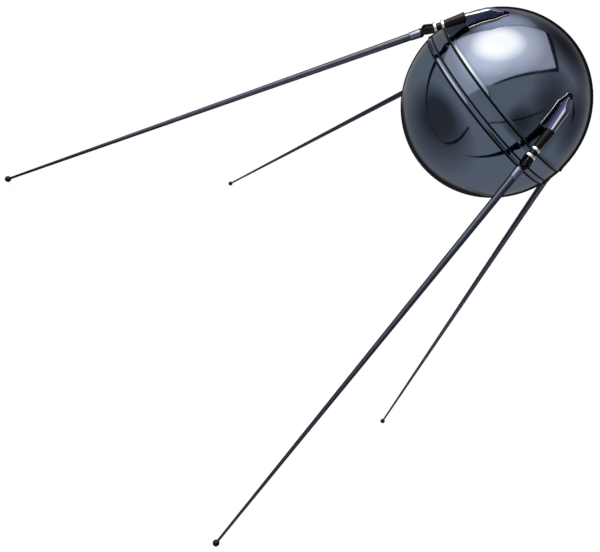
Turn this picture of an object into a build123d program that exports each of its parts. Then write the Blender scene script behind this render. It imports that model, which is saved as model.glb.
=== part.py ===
from build123d import *
from math import cos, sin, radians, sqrt
import os

# A spherical artificial satellite, standing on the tips of its four whip antennas.
# Millimetres. +Z is the axis of symmetry, nose up; the origin is on the floor under the ball.

os.makedirs("parts", exist_ok=True)

# Driving dimensions of the ball
ball_r = 290.0            # outside radius of the polished ball
shell_wall = 2.0          # wall of the two pressure half-shells
shield_wall = 1.0         # wall of the polished heat shield over the front half
shield_air_gap = 3.0      # space between the heat shield and the front half-shell
seat_gap = 0.2            # gap between curved pieces that sit on each other
joint_up = -17.5          # plane where the half-shells meet, above the ball's centre
rim_up = 37.2             # rear edge of the heat shield, above the ball's centre
band_width = 11.0         # the two raised bands round the ball
band_height = 3.2         # crest at each band's rear edge
band_crest = 1.2          # width of that crest
band_slope = 5.5          # width of the slope that runs down from it
band_front_height = 0.9   # flat part in front of the slope
band_round = 0.5
groove_width = 6.5        # the dark groove behind each band
front_groove_width = 5.2  # the narrower groove in front of the joint band
groove_depth = 3.0
groove_lip = 2.0          # thick metal that goes on past the grooves
flange_depth = 26.0       # bolted flanges inside the joint
land_width = 8.0          # seat of the heat shield on the front half-shell
rim_frame_depth = 6.0     # thickened ring below that seat

# Driving dimensions of the power block inside
block_sides = 8
block_gap = 18.5          # between the block's corners and the flanges
block_dome_gap = 5.6      # between the block's corners and the front dome
frame_height = 10.0       # frame that carries the block on the front flange

# Driving dimensions of the antennas
antenna_angle = 25.2      # between each whip and the axis, deployed
axis_height = 19.5        # the whip's line above the ball's surface at its nearest point
tip_reach = 1545.0        # from the nearest point to the centre of the tip ball, along the whip
tip_ball_r = 10.0

# Foot: a pad on the ball and a chisel-shaped fin that holds the insulator
pad_thick = 2.5
pad_half_width = 29.0
pad_nose = 94.0           # reach of the pad towards the nose
pad_shoulder = 48.0       # where the pad starts to narrow
pad_nose_half_width = 15.0
fin_top = 10.0            # rear end of the top face above the whip's line
fin_top_low = 4.0         # front end of the top face above the whip's line
fin_top_half_width = 7.5
fin_base_half_width = 16.5
fin_rear = 30.0           # rear face, where the insulator starts
fin_top_front = 35.0      # front end of the top face
fin_shoulder = 50.0       # where the fin's sides start to narrow
fin_nose = 76.0           # front tip of the fin
fin_nose_half_width = 8.5
fin_bevel = 3.0           # along the sides and the front of the top face

# Insulator: a rimmed cone behind the fin
insulator_length = 62.0
insulator_rim_r = 16.0
insulator_rim_width = 5.0
insulator_root_r = 15.0
insulator_tip_r = 12.2
insulator_round = 1.5

# The two bright rings and the neck through them
upper_ring_r = 14.5
lower_ring_r = 16.5
ring_width = 8.0
ring_bevel = 1.0
ring_spacing = 23.0
neck_r = 11.0

# Hinge: fork, pin and tongue
fork_half = 11.5          # half width over the fork's flat cheeks
fork_foot_r = 10.5
fork_reach = 21.8         # from the lower ring to the pin
pin_away = 5.0            # the pin lies outside the whip's line
ear_r = 11.5
tongue_half = 5.5
tongue_r = 8.0
tongue_gap = 0.3          # each side of the tongue
tongue_end_gap = 0.6      # between the tongue's round end and the fork's floor
pin_r = 3.0
pin_clearance = 0.05
pin_head_r = 5.5
pin_head_height = 1.6

# Whip: shoulder of the knuckle, ferrule, rod and tip ball
shoulder_r = 13.5
shoulder_length = 5.0
shoulder_clearance = 1.5  # between the fork's round ears and the shoulder
shoulder_bevel = 1.0
ferrule_length = 32.0
ferrule_root_r = 13.0
ferrule_tip_r = 12.0
ferrule_bevel = 1.5
rod_root_r = 11.0
rod_tip_r = 3.8

# Overrun of every cutting tool past the face it cuts
over = 5.0

# Heights and radii of the ball, worked out from the above
tilt = radians(antenna_angle)
line_r = ball_r + axis_height
centre_z = tip_reach * cos(tilt) - line_r * sin(tilt) + tip_ball_r
centre = Vector(0, 0, centre_z)
inner_r = ball_r - shell_wall
land_r = ball_r - shield_wall - seat_gap
dome_r = ball_r - shield_wall - shield_air_gap
dome_inner_r = dome_r - shell_wall
pad_foot_r = ball_r + seat_gap
pad_top_r = pad_foot_r + pad_thick
pad_depth = line_r - sqrt(ball_r ** 2 - pad_nose ** 2) + over
fin_depth = line_r - sqrt(ball_r ** 2 - fin_nose ** 2) + over
joint_band_low = joint_up - band_width / 2
joint_band_high = joint_up + band_width / 2
flange_inner_r = inner_r - flange_depth
flange_low = joint_band_low - groove_width - groove_lip
flange_high = joint_band_high + front_groove_width + groove_lip
block_corner_r = flange_inner_r - block_gap
block_height = 2 * sqrt((dome_inner_r - block_dome_gap) ** 2 - block_corner_r ** 2)

# Places along an antenna's line, from the nearest point towards the tip
insulator_end = fin_rear + insulator_length
upper_ring_start = insulator_end + seat_gap
lower_ring_start = upper_ring_start + ring_spacing
fork_start = lower_ring_start + ring_width
hinge_at = fork_start + fork_reach
slot_floor = hinge_at - tongue_r - tongue_end_gap
shoulder_start = hinge_at + ear_r + shoulder_clearance
ferrule_start = shoulder_start + shoulder_length
ferrule_end = ferrule_start + ferrule_length
rod_end = tip_reach - sqrt(tip_ball_r ** 2 - rod_tip_r ** 2)

# One row for each antenna: its name and its compass place about the axis, in degrees
antenna_sides = [
    ("left", 180.0),
    ("front", 270.0),
    ("right", 0.0),
    ("back", 90.0),
]


def save(builder, name):
    """Label a finished piece and write it."""
    builder.part.label = name
    export_step(builder.part, f"parts/{name}.step")


def on_ball(radius, up):
    """Point of the ball's half section, given its height above the centre."""
    return sqrt(radius ** 2 - up ** 2), up


def ball_arc(radius, low, high):
    """Arc of the ball's half section between two heights."""
    return ThreePointArc(on_ball(radius, low), on_ball(radius, (low + high) / 2), on_ball(radius, high))


def turned_about_ball(*outline, mode=Mode.ADD):
    """Turn closed outlines of the half section about the ball's axis."""
    revolve(*outline, axis=Axis(centre, (0, 0, 1)), mode=mode)


def cut_groove(low, high):
    """Cut a groove that runs round the ball between two heights."""
    with BuildSketch(half_section) as groove:
        with BuildLine():
            Polyline(on_ball(ball_r - groove_depth, low), on_ball(ball_r + over, low),
                     on_ball(ball_r + over, high), on_ball(ball_r - groove_depth, high), close=True)
        make_face()
    turned_about_ball(groove.sketch, mode=Mode.SUBTRACT)


# The half section of the ball: X is the distance from the axis, Y the height above the centre
half_section = Plane(origin=centre, x_dir=(1, 0, 0), z_dir=(0, -1, 0))

# Rear half-shell: a polished bowl with its bolted flange inside
with BuildPart() as rear_half_shell:
    with BuildSketch(half_section) as bowl:
        with BuildLine():
            ball_arc(ball_r, -ball_r, joint_up)
            Line(on_ball(ball_r, joint_up), (flange_inner_r, joint_up))
            Line((flange_inner_r, joint_up), (flange_inner_r, flange_low))
            Line((flange_inner_r, flange_low), on_ball(inner_r, flange_low))
            ball_arc(inner_r, flange_low, -inner_r)
            Line((0, -inner_r), (0, -ball_r))
        make_face()
    turned_about_ball(bowl.sketch)
    cut_groove(joint_band_low - groove_width, joint_band_low)
save(rear_half_shell, "rear_half_shell")

# Front half-shell: flange, plain band in view, seat for the heat shield, and the dome inside it
with BuildPart() as front_half_shell:
    with BuildSketch(half_section) as dome:
        with BuildLine():
            land_high = rim_up + land_width
            frame_low = rim_up - groove_width - groove_lip
            frame_inner_r = on_ball(dome_inner_r, land_high)[0] - rim_frame_depth
            Line((flange_inner_r, joint_up), on_ball(ball_r, joint_up))
            ball_arc(ball_r, joint_up, rim_up)
            Line(on_ball(ball_r, rim_up), on_ball(land_r, rim_up))
            ball_arc(land_r, rim_up, land_high)
            Line(on_ball(land_r, land_high), on_ball(dome_r, land_high))
            ball_arc(dome_r, land_high, dome_r)
            Line((0, dome_r), (0, dome_inner_r))
            ball_arc(dome_inner_r, dome_inner_r, land_high)
            Line(on_ball(dome_inner_r, land_high), (frame_inner_r, land_high))
            Line((frame_inner_r, land_high), (frame_inner_r, frame_low))
            Line((frame_inner_r, frame_low), on_ball(inner_r, frame_low))
            ball_arc(inner_r, frame_low, flange_high)
            Line(on_ball(inner_r, flange_high), (flange_inner_r, flange_high))
            Line((flange_inner_r, flange_high), (flange_inner_r, joint_up))
        make_face()
    turned_about_ball(dome.sketch)
    cut_groove(rim_up - groove_width, rim_up)
    cut_groove(joint_band_high, joint_band_high + front_groove_width)
save(front_half_shell, "front_half_shell")

# Heat shield: a thin polished dome that stands off the front half-shell
with BuildPart() as heat_shield:
    with BuildSketch(half_section) as shield:
        with BuildLine():
            shield_low = rim_up + seat_gap
            shield_inner_r = ball_r - shield_wall
            ball_arc(ball_r, shield_low, ball_r)
            Line((0, ball_r), (0, shield_inner_r))
            ball_arc(shield_inner_r, shield_inner_r, shield_low)
            Line(on_ball(shield_inner_r, shield_low), on_ball(ball_r, shield_low))
        make_face()
    turned_about_ball(shield.sketch)
save(heat_shield, "heat_shield")

# The two raised bands, each with its crest at the rear edge and a slope towards the nose:
# a name and the height of the lower edge above the ball's centre
raised_bands = [
    ("joint_band", joint_band_low),
    ("shield_rim_band", rim_up),
]
band_foot_r = ball_r + seat_gap
band_top_r = ball_r + band_height
band_front_r = ball_r + band_front_height
for name, low in raised_bands:
    high = low + band_width
    crest_end = low + band_crest
    slope_end = crest_end + band_slope
    with BuildPart() as band:
        with BuildSketch(half_section) as band_outline:
            with BuildLine():
                Line(on_ball(band_foot_r, low), on_ball(band_top_r, low))
                ball_arc(band_top_r, low, crest_end)
                Line(on_ball(band_top_r, crest_end), on_ball(band_front_r, slope_end))
                ball_arc(band_front_r, slope_end, high)
                Line(on_ball(band_front_r, high), on_ball(band_foot_r, high))
                ball_arc(band_foot_r, high, low)
            make_face()
            fillet(band_outline.vertices().sort_by_distance(centre)[-2:], band_round)
        turned_about_ball(band_outline.sketch)
    save(band, name)

# Power block: the heavy eight-sided block in the middle of the ball
with BuildPart() as battery_block:
    with BuildSketch(Plane.XY.offset(centre_z - block_height / 2)):
        RegularPolygon(radius=block_corner_r, side_count=block_sides)
    extrude(amount=block_height)
save(battery_block, "battery_block")

# Carrier frame: a flat ring on the front flange, with an eight-sided hole round the block
frame_high = flange_high + frame_height
frame_outer_r = min(on_ball(inner_r, flange_high)[0], on_ball(inner_r, frame_high)[0]) - seat_gap
with BuildPart() as battery_frame:
    with BuildSketch(Plane.XY.offset(centre_z + flange_high)):
        Circle(frame_outer_r)
        RegularPolygon(radius=block_corner_r + seat_gap, side_count=block_sides, mode=Mode.SUBTRACT)
    extrude(amount=frame_height)
save(battery_frame, "battery_frame")


def whip_planes(turn):
    """Planes at the point where an antenna's line comes nearest to the ball, and at its pin.

    side and hinge hold a section of the line: their X points away from the ball and their Y runs
    along the whip. plan looks down on the foot, with X along the whip. cross is square to the line.
    """
    out = Vector(cos(radians(turn)), sin(radians(turn)), 0)
    up = Vector(0, 0, 1)
    along = out * sin(tilt) - up * cos(tilt)
    away = out * cos(tilt) + up * sin(tilt)
    near_point = centre + away * line_r
    side = Plane(origin=near_point, x_dir=away, z_dir=up.cross(out))
    plan = Plane(origin=near_point, x_dir=along, z_dir=away)
    cross = Plane(origin=near_point, x_dir=away, z_dir=along)
    hinge = Plane(origin=near_point + along * hinge_at + away * pin_away, x_dir=away, z_dir=up.cross(out))
    return side, plan, cross, hinge


def turned(side, *points):
    """Turn a closed outline of (radius, place along the line) about the antenna's line."""
    with BuildSketch(side) as outline:
        with BuildLine():
            Polyline(*points, close=True)
        make_face()
    revolve(outline.sketch, axis=Axis(side.origin, side.y_dir))


def cut_ball(radius):
    """Cut away a ball about the satellite's centre."""
    with Locations(centre):
        Sphere(radius, mode=Mode.SUBTRACT)


for name, turn in antenna_sides:
    side, plan, cross, hinge = whip_planes(turn)

    # Pad under the foot: a bullet-shaped plate that follows the ball
    with BuildPart() as foot_pad:
        with BuildSketch(plan):
            with BuildLine():
                nose_base = pad_nose - pad_nose_half_width
                Line((fin_rear, -pad_half_width), (fin_rear, pad_half_width))
                Line((fin_rear, pad_half_width), (-pad_shoulder, pad_half_width))
                Line((-pad_shoulder, pad_half_width), (-nose_base, pad_nose_half_width))
                ThreePointArc((-nose_base, pad_nose_half_width), (-pad_nose, 0),
                              (-nose_base, -pad_nose_half_width))
                Line((-nose_base, -pad_nose_half_width), (-pad_shoulder, -pad_half_width))
                Line((-pad_shoulder, -pad_half_width), (fin_rear, -pad_half_width))
            make_face()
        extrude(amount=-pad_depth)
        with Locations(centre):
            Sphere(pad_top_r, mode=Mode.INTERSECT)
        cut_ball(pad_foot_r)
    save(foot_pad, f"foot_pad_{name}")

    # Fin: where its side, end and plan outlines cross, hollowed below to sit on the pad
    with BuildPart() as foot_fin:
        with BuildSketch(side):
            with BuildLine():
                Polyline((fin_top, fin_rear), (fin_top_low, -fin_top_front), (-axis_height, -fin_nose),
                         (-fin_depth, -fin_nose), (-fin_depth, fin_rear), close=True)
            make_face()
        extrude(amount=fin_base_half_width, both=True)
        with BuildSketch(cross):
            with BuildLine():
                Polyline((fin_top, -fin_top_half_width), (fin_top, fin_top_half_width),
                         (-axis_height, fin_base_half_width), (-fin_depth, fin_base_half_width),
                         (-fin_depth, -fin_base_half_width), (-axis_height, -fin_base_half_width),
                         close=True)
            make_face()
        extrude(amount=fin_nose + over, both=True, mode=Mode.INTERSECT)
        with BuildSketch(plan):
            with BuildLine():
                Polyline((fin_rear, -fin_base_half_width), (fin_rear, fin_base_half_width),
                         (-fin_shoulder, fin_base_half_width), (-fin_nose, fin_nose_half_width),
                         (-fin_nose, -fin_nose_half_width), (-fin_shoulder, -fin_base_half_width),
                         close=True)
            make_face()
        extrude(amount=fin_depth + over, both=True, mode=Mode.INTERSECT)
        cut_ball(pad_top_r + seat_gap)
        top_face = foot_fin.faces().sort_by(Axis(plan.origin, plan.z_dir))[-1]
        chamfer(top_face.edges().sort_by(Axis(plan.origin, plan.x_dir))[:-1], fin_bevel)
    save(foot_fin, f"foot_fin_{name}")

    # Black insulator: a rimmed cone behind the fin
    rim_end = fin_rear + insulator_rim_width
    with BuildPart() as insulator:
        turned(side, (0, fin_rear), (insulator_rim_r - insulator_round, fin_rear),
               (insulator_rim_r, fin_rear + insulator_round), (insulator_rim_r, rim_end - insulator_round),
               (insulator_root_r, rim_end), (insulator_tip_r, insulator_end - insulator_round),
               (insulator_tip_r - insulator_round, insulator_end), (0, insulator_end))
    save(insulator, f"insulator_{name}")

    # Neck: the spindle through both bright rings
    with BuildPart() as neck:
        turned(side, (0, insulator_end), (neck_r, insulator_end), (neck_r, fork_start), (0, fork_start))
    save(neck, f"neck_{name}")

    # Bright rings, each bored to slip over the neck: a name, where it starts and its radius
    bright_rings = [
        ("upper_ring", upper_ring_start, upper_ring_r),
        ("lower_ring", lower_ring_start, lower_ring_r),
    ]
    for ring_name, start, ring_r in bright_rings:
        bore_r = neck_r + seat_gap
        end = start + ring_width - seat_gap
        with BuildPart() as ring:
            turned(side, (bore_r, start), (ring_r - ring_bevel, start), (ring_r, start + ring_bevel),
                   (ring_r, end - ring_bevel), (ring_r - ring_bevel, end), (bore_r, end))
        save(ring, f"{ring_name}_{name}")

    # Hinge fork: two flat cheeks with ears rounded about the pin, slotted and cross-drilled
    with BuildPart() as hinge_fork:
        with BuildSketch(side):
            with BuildLine():
                low_side = pin_away - ear_r
                high_side = pin_away + ear_r
                Line((low_side, hinge_at), (-fork_foot_r, fork_start))
                Line((-fork_foot_r, fork_start), (fork_foot_r, fork_start))
                Line((fork_foot_r, fork_start), (high_side, hinge_at))
                ThreePointArc((high_side, hinge_at), (pin_away, hinge_at + ear_r), (low_side, hinge_at))
            make_face()
        extrude(amount=fork_half, both=True)
        with BuildSketch(side):
            with BuildLine():
                Polyline((low_side - over, slot_floor), (high_side + over, slot_floor),
                         (high_side + over, shoulder_start), (low_side - over, shoulder_start), close=True)
            make_face()
        extrude(amount=tongue_half + tongue_gap, both=True, mode=Mode.SUBTRACT)
        with BuildSketch(hinge):
            Circle(pin_r + pin_clearance)
        extrude(amount=fork_half + over, both=True, mode=Mode.SUBTRACT)
    save(hinge_fork, f"hinge_fork_{name}")

    # Hinge pin with a low head at each end
    with BuildPart() as hinge_pin:
        with BuildSketch(hinge):
            Circle(pin_r)
        extrude(amount=fork_half, both=True)
        for face_side in (1, -1):
            with BuildSketch(hinge.offset(face_side * fork_half)):
                Circle(pin_head_r)
            extrude(amount=face_side * pin_head_height)
    save(hinge_pin, f"hinge_pin_{name}")

    # Knuckle: a tongue on the pin that widens to the whip's round shoulder
    with BuildPart() as knuckle:
        turned(side, (0, shoulder_start), (shoulder_r - shoulder_bevel, shoulder_start),
               (shoulder_r, shoulder_start + shoulder_bevel), (shoulder_r, ferrule_start),
               (0, ferrule_start))
        with BuildSketch(side):
            with BuildLine():
                low_side = pin_away - tongue_r
                high_side = pin_away + tongue_r
                root_half = sqrt((shoulder_r - shoulder_bevel) ** 2 - tongue_half ** 2) - seat_gap
                tongue_foot = shoulder_start + shoulder_bevel
                Line((low_side, hinge_at), (-root_half, tongue_foot))
                Line((-root_half, tongue_foot), (root_half, tongue_foot))
                Line((root_half, tongue_foot), (high_side, hinge_at))
                ThreePointArc((high_side, hinge_at), (pin_away, hinge_at - tongue_r), (low_side, hinge_at))
            make_face()
        extrude(amount=tongue_half, both=True)
        with BuildSketch(hinge):
            Circle(pin_r + pin_clearance)
        extrude(amount=tongue_half + over, both=True, mode=Mode.SUBTRACT)
    save(knuckle, f"knuckle_{name}")

    # Ferrule: the turned socket that grips the rod
    with BuildPart() as ferrule:
        turned(side, (0, ferrule_start), (ferrule_root_r, ferrule_start),
               (ferrule_tip_r, ferrule_end - ferrule_bevel), (ferrule_tip_r - ferrule_bevel, ferrule_end),
               (0, ferrule_end))
    save(ferrule, f"ferrule_{name}")

    # Rod: one long taper, ending on the tip ball
    with BuildPart() as whip_rod:
        turned(side, (0, ferrule_end), (rod_root_r, ferrule_end), (rod_tip_r, rod_end), (0, rod_end))
    save(whip_rod, f"whip_rod_{name}")

    # Tip ball, flattened where the rod is screwed in
    with BuildPart() as tip_ball:
        with Locations(cross.origin + cross.z_dir * tip_reach):
            Sphere(tip_ball_r)
        with BuildSketch(cross.offset(rod_end)):
            Circle(tip_ball_r)
        extrude(amount=-tip_ball_r, mode=Mode.SUBTRACT)
    save(tip_ball, f"tip_ball_{name}")
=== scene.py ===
"""Looks of a spherical artificial satellite that stands on the tips of its four whip antennas."""

import math

import bmesh
import bpy
from bpy.props import FloatProperty, FloatVectorProperty, IntProperty, PointerProperty
from mathutils import Euler, Matrix, Vector


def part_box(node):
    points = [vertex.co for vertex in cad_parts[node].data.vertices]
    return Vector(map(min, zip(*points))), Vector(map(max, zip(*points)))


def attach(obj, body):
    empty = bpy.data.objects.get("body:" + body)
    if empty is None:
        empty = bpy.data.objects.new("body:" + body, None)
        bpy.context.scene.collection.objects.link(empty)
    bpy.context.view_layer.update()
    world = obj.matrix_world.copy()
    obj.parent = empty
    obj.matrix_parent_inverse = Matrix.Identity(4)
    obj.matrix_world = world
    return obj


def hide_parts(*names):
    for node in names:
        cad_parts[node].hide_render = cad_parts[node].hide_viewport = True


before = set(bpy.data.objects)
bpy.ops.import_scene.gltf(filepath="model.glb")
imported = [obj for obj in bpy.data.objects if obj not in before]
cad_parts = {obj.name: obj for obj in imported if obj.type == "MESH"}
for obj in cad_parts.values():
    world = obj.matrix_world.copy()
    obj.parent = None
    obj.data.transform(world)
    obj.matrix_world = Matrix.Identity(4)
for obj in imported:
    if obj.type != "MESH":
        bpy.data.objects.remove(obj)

bl_info = {
    "name": "Spherical Satellite",
    "version": (1, 0, 0),
    "blender": (4, 5, 0),
    "location": "3D View > Sidebar > Satellite",
    "description": "Dresses the packed satellite with polished metal, screws and a plain studio",
    "category": "Object",
}

# One row for each antenna: its name and its compass place about the axis, in degrees
ANTENNAS = (
    ("left", 180.0),
    ("front", 270.0),
    ("right", 0.0),
    ("back", 90.0),
)

MILLIMETRE = 0.001
# Air between neighbouring pieces
CLEARANCE = 0.2 * MILLIMETRE
# Points nearer than this are one point: in new meshes, and in copies of CAD meshes
SAME_POINT = 1e-6
SAME_CAD_POINT = 2e-6

# Inside forms of the shells, and their small corners
FLANGE_DEPTH = 26 * MILLIMETRE
LAND_WIDTH = 8 * MILLIMETRE
STEP_DEPTH = 6 * MILLIMETRE
GROOVE_CORNER = 0.25 * MILLIMETRE
SHIELD_CORNER = 0.35 * MILLIMETRE
BAND_CORNER = 0.5 * MILLIMETRE

# The pad: its thickness and edge in metres, then places along the whip and half widths in millimetres
PAD_THICKNESS = 2.5 * MILLIMETRE
PAD_EDGE = 0.7 * MILLIMETRE
PAD_NOSE = -94.0
PAD_SHOULDER = -48.0
PAD_HEEL = 30.0
PAD_NOSE_HALF = 15.0
PAD_HALF = 29.0

# Each screw's place along the whip and across it, in millimetres
SCREW_PLACES = (
    (-85, 0), (-60, -18.5), (-60, 18.5), (-34, -22.8), (-34, 22.8), (-4, -22.8), (-4, 22.8), (23, -22.8),
    (23, 22.8),
)

# Where the turned pieces start along the whip's line, and their radii, in millimetres
INSULATOR_START = 30
NECK_START = 92
NECK_END = 123.2
NECK_RADIUS = 11
RING_WIDTH = 7.8
FERRULE_START = 163.0
ROD_START = 195.0
ROD_ROOT_RADIUS = 11.0
ROD_TIP_RADIUS = 3.8

# Colours that metal shows where it is seen edge on
DARK_TINT = (0.35, 0.38, 0.48)
BLACK_TINT = (0.02, 0.02, 0.03)
# Grain of the feet as noise steps a metre along X, Y and Z, and the height of fine tool lines in metres
FOOT_GRAIN = (900, 900, 60)
FINE_BUMP = 0.000004

WHITE = (1.0, 1.0, 1.0)

# Directions from the ball are (azimuth, elevation) in degrees; a rod's points add its width in degrees
SOFTBOX_MIDDLE = (164, 41)
SOFTBOX_DISTANCE = 5.0
ROD_DISTANCE = 4.9
LOWER_ROD = (
    (-28, 82, 5.5), (-93, 79, 4.0), (-116, 71, 3.6), (-132, 54, 3.4), (-138, 38, 3.0), (-142, 19, 2.0),
)
SIDE_ROD = ((87, 56, 3.5), (89, 66, 5.0), (85, 78, 5.5), (35, 85, 6.0), (-28, 82, 5.5))
UPPER_ROD = ((140, 33, 0.8), (132, 40, 1.0), (122, 47, 1.2), (104, 53, 1.6), (87, 56, 3.0))
OPEN_EDGE = ((-146, 6), (-149, -9), (180, -10), (155, -9), (141, 1), (141, 18))
WALL_RAIL = (
    (-110, -9, 2.5), (-100, 4, 3.2), (-96, 10, 3.2), (-87, 22, 3.2), (-79, 32, 2.6), (-67, 41, 1.2),
)
LIGHT_STAND = ((-11, 49, 1.5), (-12, 41, 4.5), (-13, 33, 1.5))
STAND_MIDDLE = (-60, 41)
CEILING_BOUNCE = (120, 38)
BLACK_FLAG = (55, -3)
KEY_LIGHT = (152, 18)

# Bright patches of the softbox: direction, inner and outer half angle, extra level and tint
SOFTBOX_GLOWS = (
    (-172, 22, 8, 28, 1.3, (1.0, 0.92, 0.86)),
    (164, 41, 26, 44, 2.2, (1.0, 0.90, 0.80)),
    (164, 41, 12, 26, 6.5, (1.0, 0.82, 0.60)),
)

# Each patch of painted shade on the floor, which only reflections show: its middle, where its edge starts and
# ends, and the level on it and beyond it
PAINTED_FLOOR_SHADE = (
    (-1.15, -0.40, 0.6, 1.8, 0.20, 0.95),
    (1.05, 1.50, 0.95, 1.3, 0.06, 1.0),
)

# Direction, half angle, soft edge and depth of each dark hanging in the room
DARK_HANGINGS = (
    (-64, 24, 24, 16, 0.60), (-53, 58, 18, 14, 0.64), (-2, 33, 16, 12, 0.70), (60, 50, 17, 12, 0.85),
    (-88, 15, 10, 10, 0.66), (110, 12, 18, 10, 0.70),
)

# Bends of the cable ribbon on the floor, then half its width across X and Y and its height, in metres
CABLE_BENDS = (
    (-1.28, 0.34), (-1.12, 0.15), (-0.87, -0.05), (-0.65, -0.23), (-0.46, -0.36), (-0.35, -0.59),
    (-0.40, -0.88), (-0.56, -1.22), (-1.11, -1.97),
)
CABLE_HALF = 0.035
CABLE_HEIGHT = 0.01

# From the middle of the floor to its sides, in metres
FLOOR_REACH = 60.0

# The camera stands where the photograph was taken from: place in metres, turn in degrees, lens in mm
CAMERA_PLACE = (-1.297384, -2.090324, 1.567280)
CAMERA_TURN = (51.90974, -45.12148, -3.87914)
CAMERA_LENS = 44.86312


# Settings


def length_setting(name, description, default):
    """A length that a user can change."""
    return FloatProperty(name=name, description=description, default=default, unit="LENGTH")


def colour_setting(name, description, default):
    """A colour that a user can change."""
    return FloatVectorProperty(
        name=name, description=description, default=default, subtype="COLOR", size=3, min=0, max=1)


class BallSettings(bpy.types.PropertyGroup):
    """Sizes of the ball and its raised bands."""

    radius: length_setting("Ball radius", "Outside radius of the polished ball", 0.29)
    wall: length_setting("Shell wall", "Wall of the two half-shells", 0.002)
    shield_wall: length_setting("Shield wall", "Wall of the heat shield over the front half-shell", 0.001)
    shield_gap: length_setting("Shield gap", "Space between the heat shield and the front half-shell", 0.003)
    joint_height: length_setting(
        "Joint height", "Plane where the half-shells meet, above the centre", -0.0175)
    rim_height: length_setting("Shield rim height", "Rear edge of the heat shield, above the centre", 0.0372)
    band_width: length_setting("Band width", "Width of the two raised bands", 0.011)
    band_height: length_setting("Band height", "Crest of each band's rear edge above the ball", 0.0032)
    band_crest: length_setting("Band crest", "Width of that crest", 0.0012)
    band_slope: length_setting("Band slope", "Width of the slope in front of the crest", 0.0055)
    band_front_height: length_setting(
        "Band front height", "Flat part of the band in front of the slope", 0.0009)
    groove_width: length_setting("Groove width", "Width of the dark groove behind each band", 0.0065)
    front_groove_width: length_setting(
        "Front groove width", "Width of the groove in front of the joint band", 0.0052)
    groove_depth: length_setting("Groove depth", "Depth of the three grooves", 0.003)
    groove_lip: length_setting("Groove lip", "Thick metal that goes on past the grooves", 0.002)
    segments: IntProperty(name="Segments", description="Steps round the ball", default=192, min=24)


class AntennaSettings(bpy.types.PropertyGroup):
    """Sizes of the antennas and their feet."""

    angle: FloatProperty(
        name="Whip angle", description="Angle between a deployed whip and the axis",
        default=math.radians(25.2), subtype="ANGLE")
    line_height: length_setting(
        "Line height", "Height of the whip's line above the ball where it is nearest", 0.0195)
    reach: length_setting("Reach", "From the nearest point to the centre of the tip ball", 1.545)
    tip_radius: length_setting("Tip ball radius", "Radius of the ball at the whip's tip", 0.01)
    segments: IntProperty(name="Segments", description="Steps round each turned piece", default=48, min=12)


class FinishSettings(bpy.types.PropertyGroup):
    """Colours of the finishes."""

    shell: colour_setting("Polished shell", "Colour of the polished ball", (0.083, 0.107, 0.150))
    foot: colour_setting("Foot metal", "Colour of the milled feet", (0.055, 0.071, 0.165))
    # This near-white colour is worn bare metal, and on the fins' edges it is also a painted highlight
    worn: colour_setting("Worn edge and highlight", "Colour of the bare metal along worn edges", (0.82, 0.83, 0.86))
    insulator: colour_setting("Insulator", "Colour of the moulded insulators", (0.0022, 0.0022, 0.0022))
    ring: colour_setting("Bright rings", "Colour of the plated rings and pins", (0.62, 0.61, 0.57))
    steel: colour_setting("Dark steel", "Colour of the blackened steel of the hinges", (0.016, 0.017, 0.021))
    whip: colour_setting("Whip metal", "Colour of the dark whips", (0.048, 0.055, 0.078))


class StageSettings(bpy.types.PropertyGroup):
    """Light levels of the plain studio."""

    floor_share: FloatProperty(
        name="Floor's own white", description="Share of the floor's white that no shadow dims",
        default=0.86, subtype="FACTOR", min=0, max=1)
    room_level: FloatProperty(
        name="Room in reflections", description="Brightness of the room in polished metal", default=0.88)
    daylight: FloatProperty(
        name="Room light", description="Brightness of the room on everything else", default=0.25)


# Nodes


def put(tree, socket, value):
    """Give a socket a value, or join it to another socket."""
    if isinstance(value, bpy.types.NodeSocket):
        tree.links.new(value, socket)
    else:
        socket.default_value = value


def fill(tree, sockets, values):
    """Give sockets their values in order."""
    for socket, value in zip(sockets, values):
        put(tree, socket, value)


def add_node(tree, kind, settings=(), **inputs):
    """Add a node; settings are its own properties, inputs are values or sockets by input name."""
    node = tree.nodes.new(kind)
    for key, value in dict(settings).items():
        setattr(node, key, value)
    for key, value in inputs.items():
        put(tree, node.inputs[key.replace("_", " ")], value)
    return node


def math_node(tree, operation, *values):
    """One step of arithmetic; returns its result."""
    node = add_node(tree, "ShaderNodeMath", {"operation": operation})
    fill(tree, node.inputs, values)
    return node.outputs[0]


def vector_node(tree, operation, *values):
    """One step of vector arithmetic; returns its outputs."""
    node = add_node(tree, "ShaderNodeVectorMath", {"operation": operation})
    fill(tree, node.inputs, values)
    return node.outputs


def blend_colour(tree, share, low, high):
    """A colour between low and high; returns it."""
    node = add_node(tree, "ShaderNodeMix", {"data_type": "RGBA"})
    fill(tree, (node.inputs[0], node.inputs[6], node.inputs[7]), (share, low, high))
    return node.outputs[2]


def mixed_value(tree, share, low, high):
    """A value between low and high; returns it."""
    node = tree.nodes.new("ShaderNodeMix")
    fill(tree, (node.inputs[0], node.inputs[2], node.inputs[3]), (share, low, high))
    return node.outputs[0]


def remap(tree, value, from_low, from_high, to_low=0.0, to_high=1.0):
    """A value stretched from one range to another and kept inside it."""
    node = tree.nodes.new("ShaderNodeMapRange")
    fill(tree, node.inputs, (value, from_low, from_high, to_low, to_high))
    return node.outputs[0]


def light_path_level(tree, camera, glossy, other):
    """A strength that differs for what the camera sees, what metal and glass show, and the rest."""
    path = tree.nodes.new("ShaderNodeLightPath").outputs
    seen = math_node(tree, "MAXIMUM", path["Is Glossy Ray"], path["Is Transmission Ray"])
    return mixed_value(tree, path["Is Camera Ray"], mixed_value(tree, seen, other, glossy), camera)


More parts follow.
